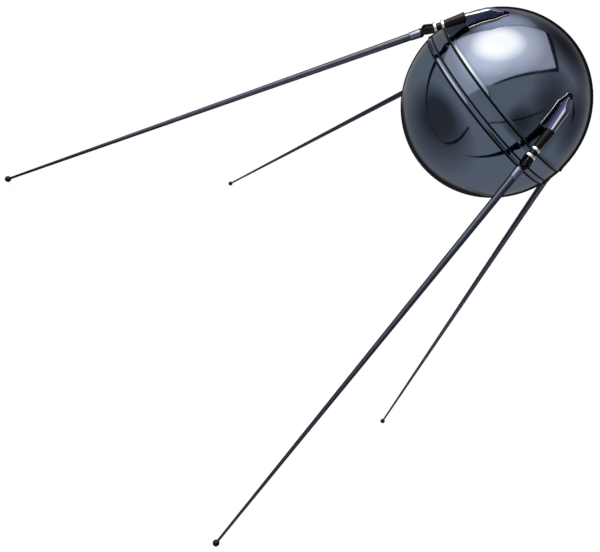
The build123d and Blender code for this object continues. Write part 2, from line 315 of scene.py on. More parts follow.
def new_material(name):
    """An empty material; returns it, its tree, its surface shader and the object coordinates."""
    material = bpy.data.materials.new(name)
    material.use_nodes = True
    tree = material.node_tree
    tree.nodes.clear()
    shader = tree.nodes.new("ShaderNodeBsdfPrincipled")
    output = tree.nodes.new("ShaderNodeOutputMaterial")
    tree.links.new(shader.outputs["BSDF"], output.inputs["Surface"])
    place = tree.nodes.new("ShaderNodeTexCoord").outputs["Object"]
    return material, tree, shader, place


def mix_surface(tree, share, under, over):
    """Send a mix of two shaders to the material's output."""
    mix = tree.nodes.new("ShaderNodeMixShader")
    fill(tree, mix.inputs, (share, under, over))
    output = next(node for node in tree.nodes if node.type == "OUTPUT_MATERIAL")
    tree.links.new(mix.outputs[0], output.inputs["Surface"])


def stretched(tree, place, scale):
    """Object coordinates stretched for a grain."""
    return add_node(tree, "ShaderNodeMapping", Vector=place, Scale=scale).outputs[0]


def noise(tree, place, scale, detail=3.0, roughness=0.55):
    """Value noise; returns its factor."""
    node = add_node(tree, "ShaderNodeTexNoise", Vector=place, Scale=scale, Detail=detail, Roughness=roughness)
    return node.outputs["Fac"]


def scaled(colour, factor):
    """A colour made lighter or darker by a factor."""
    return tuple(channel * factor for channel in colour)


def rgba(colour, factor=1.0):
    """A colour with its alpha, made lighter or darker by a factor."""
    return tuple(min(1.0, channel) for channel in scaled(colour, factor)) + (1.0,)


def with_bumps(tree, shader, *layers):
    """Stack bump layers of (height, distance in metres, strength)."""
    normal = None
    for height, distance, strength in layers:
        bump = add_node(tree, "ShaderNodeBump", Height=height, Distance=distance, Strength=strength)
        if normal is not None:
            tree.links.new(normal, bump.inputs["Normal"])
        normal = bump.outputs[0]
    tree.links.new(normal, shader.inputs["Normal"])


def dark_edges(shader, tint):
    """Hold back the glare that metal shows where it is seen edge on."""
    shader.inputs["Specular Tint"].default_value = tint + (1.0,)


def polished_shell_material(name, colour, ball):
    """Mirror-polished sheet: polishing rings, faint smears, darker patches near the seams, and painted black
    shade in the grooves and inside.
    """
    material, tree, shader, place = new_material(name)
    centre = ball_centre()
    seams = (ball.joint_height - ball.band_width / 2, ball.joint_height + ball.band_width / 2,
             ball.rim_height, ball.rim_height + ball.band_width)
    height = add_node(tree, "ShaderNodeSeparateXYZ", Vector=place).outputs[2]
    clouds = noise(tree, place, 3.2, detail=4.0)
    smears = noise(tree, stretched(tree, place, (9, 9, 30)), 1.0, detail=6.0, roughness=0.7)
    rings = noise(tree, stretched(tree, place, (2, 2, 1600)), 1.0)
    # The ball is darker in patches within a few millimetres of each seam, and rougher there
    seam_darkening = None
    for seam in seams:
        away = math_node(tree, "ABSOLUTE", math_node(tree, "SUBTRACT", height, centre.z + seam))
        near = remap(tree, away, 0.8 * MILLIMETRE, 3.5 * MILLIMETRE, 1.0, 0.0)
        seam_darkening = near if seam_darkening is None else math_node(tree, "MAXIMUM", seam_darkening, near)
    seam_darkening = math_node(tree, "MULTIPLY", seam_darkening, remap(tree, smears, 0.35, 0.65, 0.1, 0.8))
    cool = rgba((colour[0] * 0.93, colour[1] * 1.01, colour[2]))
    warm = rgba((colour[0] * 1.08, colour[1] * 0.99, colour[2] * 1.02))
    clean = blend_colour(tree, remap(tree, clouds, 0.35, 0.65), cool, warm)
    polished = blend_colour(tree, math_node(tree, "MULTIPLY", seam_darkening, 0.35), clean, rgba(colour, 0.30))
    # Painted shade: all metal more than about a millimetre below the ball's surface, in the grooves and
    # inside, is painted black and rough, with no metal shine
    reach = vector_node(tree, "DISTANCE", place, centre)["Value"]
    painted_groove_shade = remap(tree, reach, ball.radius - 1.2 * MILLIMETRE, ball.radius - 0.6 * MILLIMETRE, 1.0, 0.0)
    painted_shade_black = (0.008, 0.008, 0.009, 1.0)
    put(tree, shader.inputs["Base Color"], blend_colour(tree, painted_groove_shade, polished, painted_shade_black))
    put(tree, shader.inputs["Metallic"], math_node(tree, "SUBTRACT", 1.0, painted_groove_shade))
    dark_edges(shader, (0.62, 0.60, 0.58))
    shader.inputs["Specular IOR Level"].default_value = 0.1
    finish = math_node(tree, "ADD", remap(tree, smears, 0.30, 0.72, 0.05, 0.10),
                       math_node(tree, "MULTIPLY", seam_darkening, 0.15))
    put(tree, shader.inputs["Roughness"], mixed_value(tree, painted_groove_shade, finish, 0.65))
    with_bumps(tree, shader, (clouds, 0.0008, 0.10), (rings, 0.00002, 0.25))
    return material


def milled_metal_material(name, colour, rough, grain, tarnish, bump=0.00003, tint=WHITE, metallic=1.0):
    """Milled or turned metal: fine tool lines, tarnish in patches and small scratches."""
    material, tree, shader, place = new_material(name)
    lines = noise(tree, stretched(tree, place, grain), 1.0, detail=2.0)
    patches = noise(tree, place, 38.0, detail=5.0, roughness=0.65)
    specks = noise(tree, place, 420.0, detail=2.0)
    worn = blend_colour(tree, remap(tree, patches, 0.38, 0.66), rgba(colour), rgba(colour, tarnish))
    scratched = remap(tree, specks, 0.70, 0.80, 0.0, 0.35)
    put(tree, shader.inputs["Base Color"], blend_colour(tree, scratched, worn, rgba(colour, 1.5)))
    put(tree, shader.inputs["Metallic"], metallic)
    dark_edges(shader, tint)
    level = math_node(tree, "ADD", remap(tree, patches, 0.35, 0.7, rough[0], rough[1]),
                      remap(tree, lines, 0.3, 0.7, -0.03, 0.03))
    put(tree, shader.inputs["Roughness"], level)
    with_bumps(tree, shader, (lines, bump, 0.5), (specks, 0.00001, 0.3))
    return material


def moulded_insulator_material(name, colour):
    """Glossy black moulding: slow waves, pinholes, dust and rubbed patches."""
    material, tree, shader, place = new_material(name)
    waves = noise(tree, place, 70.0)
    pores = noise(tree, place, 900.0, detail=2.0)
    dust = remap(tree, noise(tree, place, 260.0, detail=6.0, roughness=0.75), 0.64, 0.82, 0.0, 0.20)
    dust_brown = (0.05, 0.045, 0.035, 1.0)
    put(tree, shader.inputs["Base Color"], blend_colour(tree, dust, rgba(colour), dust_brown))
    shader.inputs["Specular IOR Level"].default_value = 0.12
    put(tree, shader.inputs["Roughness"], remap(tree, waves, 0.3, 0.7, 0.07, 0.12))
    with_bumps(tree, shader, (waves, 0.0001, 0.2), (pores, 0.00002, 0.2))
    return material


def painted_case_material(name, colour):
    """Matt painted case of the power block: orange peel, rubbed patches and dust."""
    material, tree, shader, place = new_material(name)
    peel = noise(tree, place, 600.0)
    patches = noise(tree, place, 14.0, detail=6.0, roughness=0.7)
    rubbed = blend_colour(tree, remap(tree, patches, 0.4, 0.65), rgba(colour), rgba(colour, 0.7))
    put(tree, shader.inputs["Base Color"], rubbed)
    put(tree, shader.inputs["Roughness"], remap(tree, patches, 0.3, 0.7, 0.55, 0.75))
    with_bumps(tree, shader, (peel, 0.0001, 0.3))
    return material


MATERIALS = {}


def finish_material(finish):
    """The material of a finish, made when it is first asked for."""
    if finish in MATERIALS:
        return MATERIALS[finish]
    colours = bpy.context.scene.satellite_finish
    made = {
        "polished_shell": lambda: polished_shell_material(
            "Polished shell", colours.shell, bpy.context.scene.satellite_ball),
        "foot_metal": lambda: milled_metal_material(
            "Milled foot metal", colours.foot, (0.10, 0.17), FOOT_GRAIN, tarnish=0.8, bump=FINE_BUMP,
            tint=DARK_TINT, metallic=0.15),
        "pad_metal": lambda: milled_metal_material(
            "Dark pad metal", scaled(colours.foot, 0.17), (0.16, 0.26), FOOT_GRAIN, tarnish=0.7,
            bump=FINE_BUMP, tint=DARK_TINT),
        # Painted highlight: the fins' rounded edges and narrow faces are near-white and barely metallic, worn
        # bare metal that also stands for their highlight
        "worn_and_highlight_edge": lambda: milled_metal_material(
            "Worn foot edge and painted highlight", colours.worn, (0.24, 0.34), (700, 700, 60), tarnish=0.85,
            bump=FINE_BUMP / 2, metallic=0.15),
        "worn_rim": lambda: milled_metal_material(
            "Worn pad rim", scaled(colours.worn, 0.4), (0.2, 0.3), (700, 700, 60), tarnish=0.5,
            bump=FINE_BUMP),
        "insulator_black": lambda: moulded_insulator_material("Moulded insulator", colours.insulator),
        "bright_ring": lambda: milled_metal_material(
            "Plated ring", colours.ring, (0.10, 0.20), (300, 300, 900), tarnish=0.82),
        "dark_steel": lambda: milled_metal_material(
            "Blackened steel", colours.steel, (0.20, 0.32), (500, 500, 500), tarnish=0.6, tint=DARK_TINT),
        "rubbed_steel": lambda: milled_metal_material(
            "Rubbed steel edge", (0.07, 0.07, 0.08), (0.18, 0.30), (500, 500, 500), tarnish=0.4),
        # Painted highlight: the ferrule is the whip's metal made 2.3 times lighter, to show a bright
        # highlight on it
        "ferrule_highlight_steel": lambda: milled_metal_material(
            "Ferrule steel lightened for a painted highlight", scaled(colours.whip, 2.3), (0.08, 0.13), (700, 700, 40), tarnish=0.8,
            tint=BLACK_TINT),
        "whip_metal": lambda: milled_metal_material(
            "Dark whip metal", colours.whip, (0.07, 0.11), (700, 700, 40), tarnish=0.8, tint=BLACK_TINT),
        "power_block": lambda: painted_case_material("Painted power case", (0.25, 0.26, 0.25)),
    }
    MATERIALS[finish] = made[finish]()
    return MATERIALS[finish]


# Places


def ball_centre():
    """Centre of the ball in the row frame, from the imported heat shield's top."""
    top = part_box("heat_shield")[1].z
    return Vector((0.0, 0.0, top - bpy.context.scene.satellite_ball.radius))


def whip_place(turn):
    """Matrix of an antenna's line: X points away from the ball, Z along the whip."""
    antenna = bpy.context.scene.satellite_antenna
    ball = bpy.context.scene.satellite_ball
    out = Vector((math.cos(math.radians(turn)), math.sin(math.radians(turn)), 0.0))
    up = Vector((0.0, 0.0, 1.0))
    along = out * math.sin(antenna.angle) - up * math.cos(antenna.angle)
    away = out * math.cos(antenna.angle) + up * math.sin(antenna.angle)
    across = along.cross(away)
    place = Matrix((away, across, along)).transposed().to_4x4()
    place.translation = ball_centre() + away * (ball.radius + antenna.line_height)
    return place


def on_sphere(radius, height):
    """Point of a sphere's half section at a height above its centre."""
    return math.sqrt(max(0.0, radius * radius - height * height)), height


def arc(radius, low, high, steps):
    """Points of the ball's half section between two heights, as (distance from the axis, height)."""
    start, end = math.asin(max(-1.0, low / radius)), math.asin(min(1.0, high / radius))
    points = []
    for step in range(steps + 1):
        angle = start + (end - start) * step / steps
        points.append((max(0.0, radius * math.cos(angle)), radius * math.sin(angle)))
    return points


def rounded(outline, closed=False, steps=3):
    """Round the corners of an outline given as (distance, place, corner radius)."""
    points = []
    count = len(outline)
    for index, (r, z, corner) in enumerate(outline):
        if corner == 0 or (not closed and index in (0, count - 1)):
            points.append((r, z))
            continue
        here = Vector((r, z))
        before = Vector(outline[index - 1][:2]) - here
        after = Vector(outline[(index + 1) % count][:2]) - here
        start = here + before.normalized() * min(corner, before.length / 2)
        end = here + after.normalized() * min(corner, after.length / 2)
        for step in range(steps + 1):
            share = step / steps
            points.append(tuple(start.lerp(here, share).lerp(here.lerp(end, share), share)))
    if closed:
        points.append(points[0])
    return points


# Meshes


def new_object(name, data):
    """An object in the scene."""
    made = bpy.data.objects.new(name, data)
    bpy.context.scene.collection.objects.link(made)
    return made


def new_geometry_tree(name, inputs):
    """A geometry-nodes tree with named inputs; returns it and the sockets that give them."""
    tree = bpy.data.node_groups.new(name, "GeometryNodeTree")
    for label, kind in inputs:
        tree.interface.new_socket(label, in_out="INPUT", socket_type="NodeSocket" + kind)
    tree.interface.new_socket("Piece", in_out="OUTPUT", socket_type="NodeSocketGeometry")
    return tree, tree.nodes.new("NodeGroupInput").outputs


def end_tree(tree, geometry, finish):
    """End a geometry-nodes tree: instances are made real and get their material."""
    real = add_node(tree, "GeometryNodeRealizeInstances", Geometry=geometry)
    done = add_node(tree, "GeometryNodeSetMaterial", Geometry=real.outputs[0], Material=finish)
    tree.links.new(done.outputs[0], tree.nodes.new("NodeGroupOutput").inputs[0])
    return tree


def turned_piece_tree():
    """Geometry nodes that turn an outline (X distance, Z place) about the Z axis."""
    tree = bpy.data.node_groups.get("Turned piece")
    if tree:
        return tree
    tree, given = new_geometry_tree("Turned piece", (
        ("Outline", "Geometry"), ("Segments", "Int"), ("Merge Distance", "Float"), ("Finish", "Material")))
    size = add_node(tree, "GeometryNodeAttributeDomainSize", {"component": "MESH"}, Geometry=given["Outline"])
    count = size.outputs["Point Count"]
    columns = math_node(tree, "ADD", given["Segments"], 1)
    grid = add_node(tree, "GeometryNodeMeshGrid", Vertices_X=columns, Vertices_Y=count)
    index = tree.nodes.new("GeometryNodeInputIndex").outputs[0]
    row = math_node(tree, "MODULO", index, count)
    column = math_node(tree, "FLOOR", math_node(tree, "DIVIDE", math_node(tree, "ADD", index, 0.5), count))
    position = tree.nodes.new("GeometryNodeInputPosition").outputs[0]
    sample = add_node(tree, "GeometryNodeSampleIndex", {"data_type": "FLOAT_VECTOR", "domain": "POINT"},
                      Geometry=given["Outline"], Index=row, Value=position)
    point = add_node(tree, "ShaderNodeSeparateXYZ", Vector=sample.outputs["Value"]).outputs
    angle = math_node(tree, "MULTIPLY", math_node(tree, "DIVIDE", column, given["Segments"]), math.tau)
    x = math_node(tree, "MULTIPLY", point[0], math_node(tree, "COSINE", angle))
    y = math_node(tree, "MULTIPLY", point[0], math_node(tree, "SINE", angle))
    turned = add_node(tree, "ShaderNodeCombineXYZ", X=x, Y=y, Z=point[2]).outputs[0]
    moved = add_node(tree, "GeometryNodeSetPosition", Geometry=grid.outputs["Mesh"], Position=turned)
    merged = add_node(tree, "GeometryNodeMergeByDistance", Geometry=moved.outputs[0],
                      Distance=given["Merge Distance"])
    return end_tree(tree, merged.outputs[0], given["Finish"])


def socket_key(tree, name):
    """Identifier of a node group's input socket."""
    return next(s.identifier for s in tree.interface.items_tree
                if s.item_type == "SOCKET" and s.in_out == "INPUT" and s.name == name)


def settled_mesh(name, seed):
    """The evaluated mesh of a helper object, which is then removed with its modifiers."""
    graph = bpy.context.evaluated_depsgraph_get()
    graph.update()
    mesh = bpy.data.meshes.new_from_object(seed.evaluated_get(graph), depsgraph=graph)
    mesh.name = name
    old = seed.data
    bpy.data.objects.remove(seed)
    if old.users == 0:
        bpy.data.meshes.remove(old)
    return mesh


def grown_mesh(name, seed_mesh, tree, **inputs):
    """Run a geometry-nodes tree on a seed mesh and return the plain mesh that it makes."""
    seed = new_object(name + "_seed", seed_mesh)
    modifier = seed.modifiers.new(tree.name, "NODES")
    modifier.node_group = tree
    for key, value in inputs.items():
        modifier[socket_key(tree, key.replace("_", " "))] = value
    mesh = settled_mesh(name, seed)
    # A material given through a modifier's input is lost with the modifier, so it is given again
    mesh.materials.clear()
    mesh.materials.append(inputs["Finish"])
    return mesh


def put_right(mesh, place=None, sharp=35.0, recalculate=True):
    """Move a mesh to its place, point its faces outwards and shade it smooth between sharp edges."""
    if place is not None:
        mesh.transform(place)
    if recalculate:
        work = bmesh.new()
        work.from_mesh(mesh)
        bmesh.ops.dissolve_degenerate(work, edges=work.edges, dist=1e-7)
        bmesh.ops.recalc_face_normals(work, faces=work.faces)
        work.to_mesh(mesh)
        work.free()
    mesh.polygons.foreach_set("use_smooth", [True] * len(mesh.polygons))
    mesh.set_sharp_from_angle(angle=math.radians(sharp))
    mesh.update()


def turned_mesh(name, outline, place, segments, finish):
    """A turned piece from its outline of (distance, place along the axis), in metres."""
    seed = bpy.data.meshes.new(name + "_outline")
    points = [(r, 0.0, z) for r, z in outline]
    seed.from_pydata(points, [(i, i + 1) for i in range(len(points) - 1)], [])
    mesh = grown_mesh(name, seed, turned_piece_tree(), Segments=segments, Merge_Distance=SAME_POINT,
                      Finish=finish_material(finish))
    put_right(mesh, place)
    return mesh


def bevelled_copy(name, node, width, slot, segments=2, edge=None, narrow=0.0):
    """A CAD node's mesh with rounded edges; these and the narrow faces can have a finish of their own, such
    as worn metal or a painted highlight.
    """
    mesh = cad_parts[node].data.copy()
    work = bmesh.new()
    work.from_mesh(mesh)
    bmesh.ops.remove_doubles(work, verts=work.verts, dist=SAME_CAD_POINT)
    bmesh.ops.dissolve_limit(work, angle_limit=math.radians(0.6), verts=work.verts, edges=work.edges)
    bmesh.ops.recalc_face_normals(work, faces=work.faces)
    for face in work.faces:
        thin = face.calc_area() / max(e.calc_length() for e in face.edges) < narrow
        face.material_index = 1 if edge and thin else 0
    # The materials come before the faces, whose numbers they would set back to the first
    mesh.materials.clear()
    for finish in (slot, edge or slot):
        mesh.materials.append(finish_material(finish))
    work.to_mesh(mesh)
    work.free()
    seed = new_object(name + "_seed", mesh)
    bevel = seed.modifiers.new("Rounded edges", "BEVEL")
    bevel.width = width
    bevel.segments = segments
    bevel.limit_method = "ANGLE"
    bevel.angle_limit = math.radians(32)
    bevel.use_clamp_overlap = True
    bevel.material = 1
    made = settled_mesh(name, seed)
    put_right(made, sharp=28.0, recalculate=False)
    return made


def show(name, mesh, body, slot, *nodes):
    """Show a finished mesh as a piece that rides on a body and stands for CAD nodes."""
    piece = new_object(name, mesh)
    if nodes:
        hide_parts(*nodes)
    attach(piece, body)
    return piece


def show_polished(node, outline):
    """Turn a polished piece about the ball's axis and show it for its CAD node."""
    name = "polished_" + node
    segments = bpy.context.scene.satellite_ball.segments
    mesh = turned_mesh(name, outline, Matrix.Translation(ball_centre()), segments, "polished_shell")
    show(name, mesh, "ball", "polished_shell", node)


def turn_for_each(name, node, outline, slot, steps=4, body="ball", closed=False, finish=None):
    """Turn one piece for each antenna from an outline in millimetres."""
    metres = [(r * MILLIMETRE, z * MILLIMETRE, c * MILLIMETRE) for r, z, c in outline]
    points = rounded(metres, closed, steps)
    segments = bpy.context.scene.satellite_antenna.segments
    for side, turn in ANTENNAS:
        label = f"{name}_{side}"
        mesh = turned_mesh(label, points, whip_place(turn), segments, finish or slot)
        show(label, mesh, body if body == "ball" else f"{body}_{side}", slot, f"{node}_{side}")


# Pieces, with the operator that makes each


def groove(ball, low, high):
    """A square groove as outline points going up."""
    radius = ball.radius
    deep, edge = radius - ball.groove_depth, radius - GROOVE_CORNER
    return [on_sphere(radius, low - GROOVE_CORNER), on_sphere(edge, low), on_sphere(deep, low),
            on_sphere(deep, high), on_sphere(edge, high), on_sphere(radius, high + GROOVE_CORNER)]


def rear_outline(ball):
    """The rear half-shell: outside going up, the flange, and back down inside."""
    radius, inner = ball.radius, ball.radius - ball.wall
    flange = inner - FLANGE_DEPTH
    band_low = ball.joint_height - ball.band_width / 2
    groove_low = band_low - ball.groove_width
    lip = groove_low - ball.groove_lip
    outline = arc(radius, -radius, groove_low, 80)[:-1] + groove(ball, groove_low, band_low)
    outline += arc(radius, band_low, ball.joint_height, 3)[1:]
    outline += [(flange, ball.joint_height), (flange, lip)]
    return outline + arc(inner, lip, -inner, 40)


def front_outline(ball):
    """The front half-shell: flange, plain band, the land that holds the shield, and the inner dome."""
    radius, inner = ball.radius, ball.radius - ball.wall
    shield_inner = radius - ball.shield_wall
    dome = shield_inner - ball.shield_gap
    dome_inner = dome - ball.wall
    joint, rim = ball.joint_height, ball.rim_height
    band_high = joint + ball.band_width / 2
    groove_high = band_high + ball.front_groove_width
    rim_groove = rim - ball.groove_width
    land_top = rim + LAND_WIDTH
    low_lip, high_lip = groove_high + ball.groove_lip, rim_groove - ball.groove_lip
    flange = inner - FLANGE_DEPTH
    step = on_sphere(dome_inner, land_top)[0] - STEP_DEPTH
    outline = [(flange, joint)] + arc(radius, joint, band_high, 3)[:-1] + groove(ball, band_high, groove_high)
    outline += arc(radius, groove_high, rim_groove, 10)[1:-1] + groove(ball, rim_groove, rim)[:4]
    outline += arc(shield_inner - CLEARANCE, rim, land_top, 2)
    outline += arc(dome, land_top, dome, 60) + arc(dome_inner, dome_inner, land_top, 40)
    outline += [(step, land_top), (step, high_lip)]
    outline += arc(inner, high_lip, low_lip, 4)
    return outline + [(flange, low_lip), (flange, joint)]


def shield_outline(ball):
    """The heat shield: down inside from the nose, round its rim, and up outside."""
    radius, inner = ball.radius, ball.radius - ball.shield_wall
    rim = ball.rim_height + CLEARANCE
    outline = arc(inner, inner, rim, 40) + [on_sphere(radius - SHIELD_CORNER, rim)]
    return outline + arc(radius, rim + SHIELD_CORNER, radius, 80)


class SATELLITE_OT_shells(bpy.types.Operator):
    """Turn the two half-shells and the heat shield as polished sheet"""

    bl_idname = "satellite.build_shells"
    bl_label = "Build Shells"

    def execute(self, context):
        ball = context.scene.satellite_ball
        show_polished("rear_half_shell", rear_outline(ball))
        show_polished("front_half_shell", front_outline(ball))
        show_polished("heat_shield", shield_outline(ball))
        return {"FINISHED"}


def band_outline(ball, low):
    """A raised band from its rear edge: a crest, a slope, a flat front and the seat on the ball."""
    high = low + ball.band_width
    top, front = ball.radius + ball.band_height, ball.radius + ball.band_front_height
    crest, slope = low + ball.band_crest, low + ball.band_crest + ball.band_slope
    outline = [on_sphere(top, low) + (BAND_CORNER,), on_sphere(top, crest) + (BAND_CORNER,)]
    outline += [point + (0.0,) for point in arc(front, slope, high, 4)]
    outline += [point + (0.0,) for point in arc(ball.radius + CLEARANCE, high, low, 6)]
    return rounded(outline, closed=True, steps=5)


class SATELLITE_OT_bands(bpy.types.Operator):
    """Turn the two raised bands over the joint and the shield's rim"""

    bl_idname = "satellite.build_bands"
    bl_label = "Build Bands"

    def execute(self, context):
        ball = context.scene.satellite_ball
        show_polished("joint_band", band_outline(ball, ball.joint_height - ball.band_width / 2))
        show_polished("shield_rim_band", band_outline(ball, ball.rim_height))
        return {"FINISHED"}


def pad_half_width(along):
    """Half width of the bullet-shaped pad at a place along the whip, in millimetres."""
    base = PAD_NOSE + PAD_NOSE_HALF
    if along >= PAD_SHOULDER:
        return PAD_HALF
    if along >= base:
        return PAD_NOSE_HALF + (PAD_HALF - PAD_NOSE_HALF) * (along - base) / (PAD_SHOULDER - base)
    return math.sqrt(max(0.0, PAD_NOSE_HALF ** 2 - (base - along) ** 2))


def pad_stations():
    """Places of the pad's rows along the whip, closer together round its nose, in millimetres."""
    base = PAD_NOSE + PAD_NOSE_HALF
    nose = [PAD_NOSE + PAD_NOSE_HALF * (1 - math.cos(math.pi / 2 * i / 10)) for i in range(11)]
    return nose + [base + (PAD_HEEL - base) * i / 40 for i in range(1, 41)]


def pad_mesh(name, place):
    """A plate that follows the ball: rows along the whip, columns across, with a rounded top edge."""
    line = place.translation
    away, across, along = (place.to_3x3().col[i] for i in range(3))
    line_height = (line - ball_centre()).length
    low = bpy.context.scene.satellite_ball.radius + CLEARANCE
    high = low + PAD_THICKNESS
    stations = pad_stations()
    shares = [math.sin(math.pi / 2 * (-1 + 2 * i / 20)) for i in range(21)]
    work = bmesh.new()

    def vertex(s, c, radius):
        """A vertex at a place along and across the whip, at a radius from the ball's centre."""
        rise = math.sqrt(radius ** 2 - s ** 2 - c ** 2) - line_height
        return work.verts.new(line + along * s + across * c + away * rise)

    def sheet(radius, inset):
        """Rows of vertices at a radius, drawn in from the pad's edge by some millimetres."""
        rows = []
        for s in stations:
            s_in = min(max(s, stations[0] + inset), stations[-1] - inset)
            half = max(0.0, pad_half_width(s) - inset)
            rows.append([vertex(s_in * MILLIMETRE, half * share * MILLIMETRE, radius) for share in shares])
        return rows

    def rim(rows):
        """The vertices round the edge of a sheet."""
        return ([row[0] for row in rows] + rows[-1][1:-1] + [row[-1] for row in reversed(rows)]
                + list(reversed(rows[0][1:-1])))

    layers = [sheet(high, 0.8), sheet(high - PAD_EDGE * 0.3, 0.25), sheet(high - PAD_EDGE, 0.0),
              sheet(low, 0.0)]
    for rows, flip in ((layers[0], False), (layers[-1], True)):
        for a, b in zip(rows, rows[1:]):
            for i in range(len(a) - 1):
                quad = (a[i], a[i + 1], b[i + 1], b[i])
                work.faces.new(quad[::-1] if flip else quad)
    for upper, lower in zip(layers, layers[1:]):
        top, bottom = rim(upper), rim(lower)
        for i in range(len(top)):
            j = (i + 1) % len(top)
            work.faces.new((top[i], bottom[i], bottom[j], top[j])).material_index = 1
    bmesh.ops.remove_doubles(work, verts=work.verts, dist=SAME_POINT)
    mesh = bpy.data.meshes.new(name)
    work.to_mesh(mesh)
    work.free()
    for finish in ("pad_metal", "worn_rim"):
        mesh.materials.append(finish_material(finish))
    put_right(mesh, sharp=40.0)
    return mesh


class SATELLITE_OT_feet(bpy.types.Operator):
    """Form the pads that follow the ball, and the chisel-shaped fins on them"""

    bl_idname = "satellite.build_feet"
    bl_label = "Build Feet"

    def execute(self, context):
        for side, turn in ANTENNAS:
            plate = "foot_plate_" + side
            show(plate, pad_mesh(plate, whip_place(turn)), "ball", "foot_metal", "foot_pad_" + side)
            chisel, node = "foot_chisel_" + side, "foot_fin_" + side
            # The fins' rounded edges and narrow faces get the worn finish that is also a painted highlight
            fin = bevelled_copy(chisel, node, 1.0 * MILLIMETRE, "foot_metal", edge="worn_and_highlight_edge",
                                narrow=5 * MILLIMETRE)
            show(chisel, fin, "ball", "foot_metal", node)
        return {"FINISHED"}


class SATELLITE_OT_insulators(bpy.types.Operator):
    """Turn the black insulators"""

    bl_idname = "satellite.build_insulators"
    bl_label = "Build Insulators"

    def execute(self, context):
        # Distance from the whip's line, place along it and corner radius of each point, in millimetres
        outline = [(0, INSULATOR_START, 0), (16.0, INSULATOR_START, 2.2), (16.0, 34.3, 1.6),
                   (15.0, 35.2, 0.5), (12.2, NECK_START, 1.8), (0, NECK_START, 0)]
        turn_for_each("insulator_body", "insulator", outline, "insulator_black", 6)
        return {"FINISHED"}


class SATELLITE_OT_rings(bpy.types.Operator):
    """Turn the black necks and the two bright rings on each"""

    bl_idname = "satellite.build_rings"
    bl_label = "Build Rings"

    def execute(self, context):
        waist = NECK_RADIUS - 0.4
        neck = [(0, NECK_START, 0), (NECK_RADIUS, NECK_START, 0.3), (NECK_RADIUS, 100.4, 0.3),
                (waist, 101.5, 0.3), (waist, 113.5, 0.3), (NECK_RADIUS, 114.8, 0.3),
                (NECK_RADIUS, NECK_END, 0.3), (0, NECK_END, 0)]
        turn_for_each("neck_spindle", "neck", neck, "dark_steel", 3)
        bore = NECK_RADIUS + 0.2
        for name, start, radius in (("upper_ring", 92.2, 14.5), ("lower_ring", 115.2, 16.5)):
            end = start + RING_WIDTH
            outline = [(bore, start, 0.4), (radius, start, 1.6), (radius, end, 1.6), (bore, end, 0.4)]
            turn_for_each("bright_" + name, name, outline, "bright_ring", 5, closed=True)
        return {"FINISHED"}


class SATELLITE_OT_hinges(bpy.types.Operator):
    """Round the edges of the forks, pins and knuckles"""

    bl_idname = "satellite.build_hinges"
    bl_label = "Build Hinges"

    def execute(self, context):
        for side, _ in ANTENNAS:
            for name, part, width, body in (("fork_cheeks", "hinge_fork", 0.5, "ball"),
                                            ("pin_with_heads", "hinge_pin", 0.35, "ball"),
                                            ("knuckle_tongue", "knuckle", 0.4, "whip_" + side)):
                label, node = f"{name}_{side}", f"{part}_{side}"
                mesh = bevelled_copy(label, node, width * MILLIMETRE, "dark_steel", edge="rubbed_steel")
                show(label, mesh, body, "dark_steel", node)
        return {"FINISHED"}


class SATELLITE_OT_whips(bpy.types.Operator):
    """Turn the ferrules, the tapered rods and the tip balls"""

    bl_idname = "satellite.build_whips"
    bl_label = "Build Whips"

    def execute(self, context):
        antenna = context.scene.satellite_antenna
        reach, tip = antenna.reach / MILLIMETRE, antenna.tip_radius / MILLIMETRE
        start, end = FERRULE_START, ROD_START
        rod_end = reach - math.sqrt(tip ** 2 - ROD_TIP_RADIUS ** 2)
        ferrule = [(0, start, 0), (13, start, 0.5), (12, end - 1.0, 1.0), (ROD_ROOT_RADIUS, end, 0.3),
                   (0, end, 0)]
        # The ferrules take the lightened metal of the painted highlight, not their dark steel
        turn_for_each("ferrule_sleeve", "ferrule", ferrule, "dark_steel", 4, "whip", finish="ferrule_highlight_steel")
        rod = [(0, end, 0)]
        for z in [end + (rod_end - end) * i / 24 for i in range(25)]:
            share = (z - end) / (rod_end - end)
            rod.append((ROD_ROOT_RADIUS + (ROD_TIP_RADIUS - ROD_ROOT_RADIUS) * share, z, 0))
        rod.append((0, rod_end, 0))
        turn_for_each("whip_taper", "whip_rod", rod, "whip_metal", 1, "whip")
        first = math.pi - math.asin(ROD_TIP_RADIUS / tip)
        ball = [(0, rod_end, 0)]
        for angle in [first - first * i / 24 for i in range(25)]:
            ball.append((tip * math.sin(angle), reach + tip * math.cos(angle), 0))
        turn_for_each("tip_bead", "tip_ball", ball, "dark_steel", 1, "whip")
        return {"FINISHED"}


